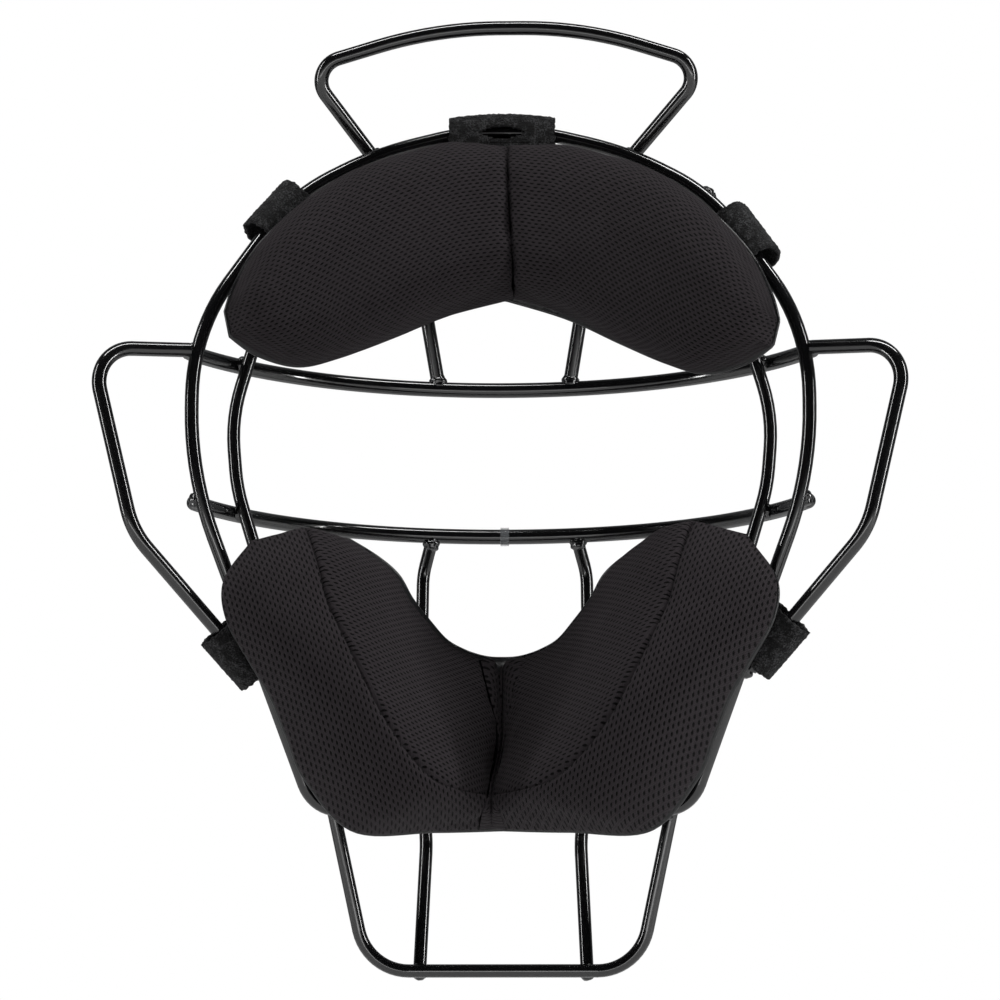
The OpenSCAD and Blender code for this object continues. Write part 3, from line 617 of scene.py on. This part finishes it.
def jaw_panel(kind, side, rows=130, cols=46):
    span = (0, 1) if kind == "outer" else (1, 2)
    near = np.linspace(0, 1, cols) ** 1.5
    ss = 1 - near[::-1] if kind == "outer" else 1 + near
    ends = [jaw_end(s) for s in ss]
    share = np.concatenate([np.linspace(0, 0.06, 22, endpoint=False), np.linspace(0.06, 1, rows - 22)])
    g = np.empty((rows, cols, 3))
    for a, f in enumerate(share):
        for b, s in enumerate(ss):
            to_ridge = abs(s - 1)
            groove = RIDGE_SEAM_DEPTH * math.exp(-to_ridge / 0.026)
            close = END_SEAM_DEPTH * math.exp(-(1 - f) * ends[b] / 0.05)
            g[a, b] = jaw_surface(f * ends[b], s, groove + close)
    n = normals(g, np.array([0, -1, 0.1]))
    j = np.abs(ss - 1)[None, :]
    calm = np.clip(np.minimum(j, 1 - j) / 0.12, 0, 1)
    gather = np.exp(-((1 - share) / 0.09) ** 2)[:, None] + 0.8 * np.exp(-(j / 0.12) ** 2)
    g = crumple(g, n, (0.3 + 0.5 * gather) * calm, 0.07, 31 + side * 5 + span[0] * 9)
    if side < 0:
        g = g * MIRROR
        g[..., 0] -= LEFT_OUT
    else:
        g[..., 2] += RIGHT_UP * np.exp(-share * 9)[:, None]
    g = np.array([[drawn_chin(p, s) for p, s in zip(row, ss)] for row in g])
    name = "jaw_%s_cloth_%s" % (kind, "right" if side > 0 else "left")
    run = np.array([1.0, 0, 0])
    if kind == "outer":
        run = g[rows // 2].mean(axis=0) - g[0].mean(axis=0)
    ob = mesh_object(name, g.reshape(-1, 3), grid_faces(rows, cols), flat_uv(g, run))
    tidy(ob)
    ob.data.materials.append(CLOTH)
    return ob, g


def jaw_gusset(rows=90, cols=41):
    g = np.empty((rows, cols, 3))
    for a, s in enumerate(np.linspace(0, 2, rows)):
        end = jaw_end(s) - 0.03
        half = max(jaw_point(end, s)[0][0], 0.3)
        for b, f in enumerate(np.linspace(-1, 1, cols)):
            t = 9 - (9 - end) * abs(f)
            p, n = jaw_point(t, s)
            pleat = 2.8 * smooth(1.35, 1.8, s) * math.exp(-((f + 0.25) / 0.1) ** 2)
            seam = 1.3 * abs(f) ** 6
            q = p - n * (pleat + seam) + np.array([0, 1, 0]) * fold_depth(half * abs(f), s)
            q[0] = math.copysign(q[0], f) if f else 0.0
            g[a, b] = drawn_chin(q, s)
    ob = mesh_object("jaw_gusset_cloth", g.reshape(-1, 3), grid_faces(rows, cols),
                     flat_uv(g, np.array([1.0, 0, 0])))
    tidy(ob)
    ob.data.materials.append(CLOTH)
    return ob


def jaw_back():
    face, back = [], []
    for t in np.linspace(0, 9, 80):
        o, i, _, n = jaw_frame(t)
        w = unit(i - o)
        across = [o - w * EDGE_OUT + (i - o + 2 * w * EDGE_OUT) * k for k in np.linspace(0, 1, 14)]
        face.append([p - n * 0.3 for p in across])
        back.append([p - n * 1.9 for p in across])
    grids = [np.concatenate([np.array(g), (np.array(g) * MIRROR)[-2::-1]]) for g in (face, back)]
    return thick_sheet("jaw_vinyl_back", grids[0], grids[1], VINYL), grids


for side, hand in ((1, "right"), (-1, "left")):
    outer, _ = jaw_panel("outer", side)
    inner, inner_grid = jaw_panel("inner", side)
    dress(outer, "mesh_cloth", "jaw_outer_panel_" + hand, "jaw_foam_" + hand, padded=True)
    dress(inner, "mesh_cloth", "jaw_inner_panel_" + hand, padded=True)
    dress(thread_line("jaw_seam_thread_" + hand, inner_grid[4:-4, 0] + [0, -0.25, 0]), "mesh_cloth")
dress(jaw_gusset(), "mesh_cloth", "jaw_center_gusset", padded=True)
back, grids = jaw_back()
dress(back, "vinyl", "jaw_back_panel")
dress(piping("jaw_piping", *grids), "vinyl")

# ---------------------------------------------------------------- the straps
# The strap's thickness, the gap under its tab, and how far its fold stands off the wire.
STRAP_T, LAP, BULGE = 1.8, 0.4, 2.9
ROUGH = 0.34  # depth of the tape's lumps
FORE_INSET = 13  # from the rim's side in to where a side strap meets the forehead pad
JAW_STAND = LAYER + 0.8


def strap_lines(s):
    """Middle line of a strap in its wire's cross-section, base then tab, and its fold."""
    wire, depth, reach, tail, _, length = s
    ix, iy = wire + BULGE, depth - LAP - STRAP_T
    h = STRAP_T / 2
    end = tail + length

    def arc(a, b, n=14):
        return [((ix + h) * math.cos(x), (iy + h) * math.sin(x)) for x in np.linspace(a, b, n)]

    base_tail = [(-end, -iy - h), (-5, -iy - h)]
    under = [(-5, -iy - h)] + arc(-math.pi / 2, 0)
    y = LAP - iy + h
    if reach > 0:
        over = [(ix + h, reach * 0.6), (ix - 3 + h * 0.4, reach + h),
                (2 - tail - h, reach + h)]
    else:
        over = arc(0.1, math.pi / 2) + [(-2.5, iy + h)]
    turn = (-tail - (h if reach > 0 else 0), y)
    return base_tail, under + over + [turn, (-end, y)], (ix + STRAP_T, iy)


def band(name, line, width, place, hole=None, seed=0.0, arch=0.0):
    """A fuzzy strip along a line of points in a strap's cross-section."""
    p2 = np.array([(x, y, 0) for x, y in line], float)
    steps = even_line(p2, 0.55, closed=False)
    for _ in range(9):
        steps[1:-1] = steps[1:-1] * 0.5 + (steps[:-2] + steps[2:]) * 0.25
    d = np.gradient(steps[:, :2], axis=0)
    d /= np.linalg.norm(d, axis=1, keepdims=True)
    out = np.stack([d[:, 1], -d[:, 0]], axis=1)
    origin, ax, ay, az = place
    zs = np.linspace(-width / 2, width / 2, int(width / 0.6) + 1)
    layers = []
    for sign in (1, -1):
        g = np.empty((len(steps), len(zs), 3))
        for i in range(len(steps)):
            for j, z in enumerate(zs):
                local = noise.noise(Vector((i * 0.55, j * 0.55, seed + sign * 9)))
                edge = 0.0
                if j in (0, len(zs) - 1):
                    edge = 0.7 * noise.noise(Vector((i * 0.4, seed, 0)))
                half = STRAP_T / 2 + ROUGH * (local - 0.5)
                q = steps[i, :2] + out[i] * half * sign
                q[0] -= arch * smooth(-2, 3, q[0]) * (2 * z / width) ** 2
                g[i, j] = origin + ax * q[0] + ay * q[1] + az * (z + edge * math.copysign(1, z))
        layers.append(g)
    keep = None
    if hole:
        def keep(i, j):
            x, z = (steps[i, 0] + steps[i + 1, 0]) / 2, (zs[j] + zs[j + 1]) / 2
            half = hole[2] * max(0.0, 1 - (z / hole[1]) ** 2)
            return not (abs(x - hole[0]) < half and steps[i, 1] < 0)
    return thick_sheet(name, layers[0], layers[1], TAPE, keep)


def strap(name, spec, place, side=1, hole=None, seed=0.0):
    origin, ax, ay, az = (np.array(v, float) for v in place)
    if side < 0:
        origin, ax, ay, az = (v * MIRROR for v in (origin, ax, ay, az))
    base_tail, loop, fold = strap_lines(spec)
    tail = band(name + "_tail", base_tail, spec[4], (origin, ax, ay, az), seed=seed)
    dress(tail, "webbing")
    wrap = band(name + "_loop", loop, spec[4], (origin, ax, ay, az), hole, seed + 3,
                arch=1.4 if hole else 0.0)
    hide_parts(name + "_strap", name + "_tab")
    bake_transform(wrap)


def strap_place(tab, side, normal, wire):
    """From a tab's hinge, for the right-hand side: the wire's centre, then the directions
    out, away from the wearer and along the wire."""
    joint = next(j for j in frame["joints"] if j["name"] == tab + "_fold")
    at = np.array(joint["pos_m"], float) / MM
    axis = unit(joint["axis"])
    if side < 0:
        at = at * MIRROR
        axis = axis * [1, -1, -1]
    centre = at
    for _ in range(12):
        n = unit(normal(centre))
        n = unit(n - axis * (n @ axis))
        out = np.cross(n, -axis)
        centre = at - out * (wire + BULGE + STRAP_T)
    return centre, out, n, -axis


def fore_normal(centre):
    return [2 * BOW * (centre[0] - FORE_INSET), 1, 0]


def jaw_normal(_):
    return -jaw_frame(2)[3]


def fore_depth(place, hand):
    x, z = place[0][0] - FORE_INSET, place[0][2]
    shift = hand * (RIM_TOP[2] - z) * math.sin(TURN)
    under = RIM_TOP[1] - SEAT - BOW * (x + shift) ** 2
    return float((place[0] - [x, under, z]) @ place[2])


def jaw_depth(place):
    return float((place[0] - jaw_frame(2)[0]) @ place[2]) - JAW_STAND


# Wire radius, reach of the tab and where its tail starts, for each side strap, in mm.
SIDE_STRAPS = [("forehead_right", 1, 2.3, 11.65, 19.6), ("forehead_left", -1, 2.3, 9.95, 15.2),
               ("jaw_right", 1, 2.4, 5.5, 17.9), ("jaw_left", -1, 2.4, 5.35, 16.2)]
for k, (name, side, wire, reach, tail) in enumerate(SIDE_STRAPS):
    fore = name.startswith("fore")
    place = strap_place(name + "_tab", side, fore_normal if fore else jaw_normal, wire)
    depth = fore_depth(place, side) if fore else jaw_depth(place)
    strap(name, (wire, depth, reach, tail, 20, 10 if fore else 4.5), place, side, seed=17.0 * k)
strap("forehead_middle", (2.3, SEAT, 0, 10.2, 36, 10), (RIM_TOP, (0, 0, 1), (0, 1, 0), (-1, 0, 0)),
      hole=(-1.0, 8.2, 2.3), seed=90.0)

# ---------------------------------------------------------------- the welds
def islands(ob):
    """Centres, in mm, of the separate lumps in a mesh."""
    bm = bmesh.new()
    bm.from_mesh(ob.data)
    bmesh.ops.remove_doubles(bm, verts=bm.verts, dist=1e-6)
    seen, centres = set(), []
    for v in bm.verts:
        if v in seen:
            continue
        stack, lump = [v], []
        seen.add(v)
        while stack:
            w = stack.pop()
            lump.append(w.co.copy())
            for e in w.link_edges:
                o = e.other_vert(w)
                if o not in seen:
                    seen.add(o)
                    stack.append(o)
        lo = np.min([tuple(c) for c in lump], axis=0)
        hi = np.max([tuple(c) for c in lump], axis=0)
        centres.append((lo + hi) / 2 / MM)
    bm.free()
    return centres


def weld_blobs():
    bm = bmesh.new()
    for k, c in enumerate(islands(nodes["weld_beads"])):
        made = bmesh.ops.create_icosphere(bm, subdivisions=4, radius=1.0)
        for v in made["verts"]:
            d = np.array(v.co)
            lump = noise.fractal(Vector(d * 1.3) + Vector((k * 7.0, 0, 0)), 0.9, 2.0, 3)
            bead = math.sin(d[2] * 9 + k) * 0.05
            r = 2.95 * (1 + 0.13 * lump + bead)
            v.co = Vector((c + d * min(r, 3.3)) * MM)
    me = bpy.data.meshes.new("welds")
    bm.to_mesh(me)
    bm.free()
    me.shade_smooth()
    me.materials.append(WELD)
    ob = bpy.data.objects.new("welds", me)
    bpy.context.scene.collection.objects.link(ob)
    return ob


dress(weld_blobs(), "enamelled_wire", "weld_beads")

# ---------------------------------------------------------------- floor, lights, camera
def emitter(name, colour, power):
    m = bpy.data.materials.new(name)
    m.use_nodes = True
    tree = m.node_tree
    tree.nodes.clear()
    out = tree.nodes.new("ShaderNodeOutputMaterial")
    e = tree.nodes.new("ShaderNodeEmission")
    e.inputs["Color"].default_value = (*colour, 1)
    e.inputs["Strength"].default_value = power
    tree.links.new(e.outputs[0], out.inputs["Surface"])
    return m


def backdrop():
    bm = bmesh.new()
    bmesh.ops.create_uvsphere(bm, u_segments=48, v_segments=24, radius=9.0)
    bmesh.ops.reverse_faces(bm, faces=bm.faces)
    me = bpy.data.meshes.new("backdrop")
    bm.to_mesh(me)
    bm.free()
    me.materials.append(emitter("white_backdrop", (1, 1, 1), 1.0))
    ob = bpy.data.objects.new("backdrop", me)
    bpy.context.scene.collection.objects.link(ob)
    for what in ("diffuse", "glossy", "transmission", "volume_scatter", "shadow"):
        setattr(ob, "visible_" + what, False)
    return ob


def floor():
    m = Nodes("pale_floor")
    m.set(Base_Color=m.mix(m.noise(3), (0.8, 0.8, 0.8), (0.84, 0.84, 0.84)), Roughness=0.9)
    me = bpy.data.meshes.new("floor")
    me.from_pydata([(-6, -6, -0.42), (6, -6, -0.42), (6, 6, -0.42), (-6, 6, -0.42)], [], [(0, 1, 2, 3)])
    me.materials.append(m.mat)
    ob = bpy.data.objects.new("floor", me)
    bpy.context.scene.collection.objects.link(ob)
    return ob


def softbox(name, place, aim, size, power):
    light = bpy.data.lights.new(name, "AREA")
    light.shape = "RECTANGLE"
    light.size, light.size_y = size
    light.energy = power
    ob = bpy.data.objects.new(name, light)
    ob.location = place
    ob.rotation_euler = (Vector(aim) - Vector(place)).to_track_quat("-Z", "Y").to_euler()
    bpy.context.scene.collection.objects.link(ob)
    ob.visible_camera = False
    return ob


backdrop()
floor()
softbox("left_box", (-1.5, -0.5, 0.25), (0, 0, 0), (0.12, 1.9), 13)
softbox("right_box", (1.5, -0.5, 0.25), (0, 0, 0), (0.12, 1.9), 19)
softbox("top_box", (0.1, -0.4, 1.6), (0, 0, 0), (1.9, 0.16), 21)
softbox("low_box", (0, -0.9, -0.4), (0, 0, 0), (1.4, 0.1), 1.5)
softbox("key_box", (0.9, -1.9, 1.3), (0, 0, 0), (1.0, 0.8), 7).visible_glossy = False


def room_light():
    """Dim light from all round, a little brighter from behind the mask."""
    world = bpy.data.worlds.new("studio")
    world.use_nodes = True
    tree = world.node_tree
    where = tree.nodes.new("ShaderNodeTexCoord")
    split = tree.nodes.new("ShaderNodeSeparateXYZ")
    ramp = tree.nodes.new("ShaderNodeMapRange")
    ramp.interpolation_type = "SMOOTHSTEP"
    for socket, value in zip(ramp.inputs[1:], (-0.1, 0.6, 0.006, 0.14)):
        socket.default_value = value
    tree.links.new(where.outputs["Generated"], split.inputs[0])
    tree.links.new(split.outputs[1], ramp.inputs[0])
    tree.links.new(ramp.outputs[0], tree.nodes["Background"].inputs["Strength"])
    tree.nodes["Background"].inputs["Color"].default_value = (0.96, 0.98, 1.0, 1)
    bpy.context.scene.world = world


room_light()
bpy.context.scene.view_settings.view_transform = "Standard"

AIM = Vector((0, 0, -0.025))
DISTANCE = 1.1
AZ, DOWN = math.radians(1.2), math.radians(10)
FROM = Vector((math.sin(AZ) * math.cos(DOWN), -math.cos(AZ) * math.cos(DOWN), -math.sin(DOWN)))
cam = bpy.data.objects.new("camera", bpy.data.cameras.new("camera"))
cam.data.sensor_width = 36
cam.data.lens = 121.8
cam.location = AIM + DISTANCE * FROM
cam.rotation_euler = (AIM - cam.location).to_track_quat("-Z", "Y").to_euler()
bpy.context.scene.collection.objects.link(cam)
bpy.context.scene.camera = cam
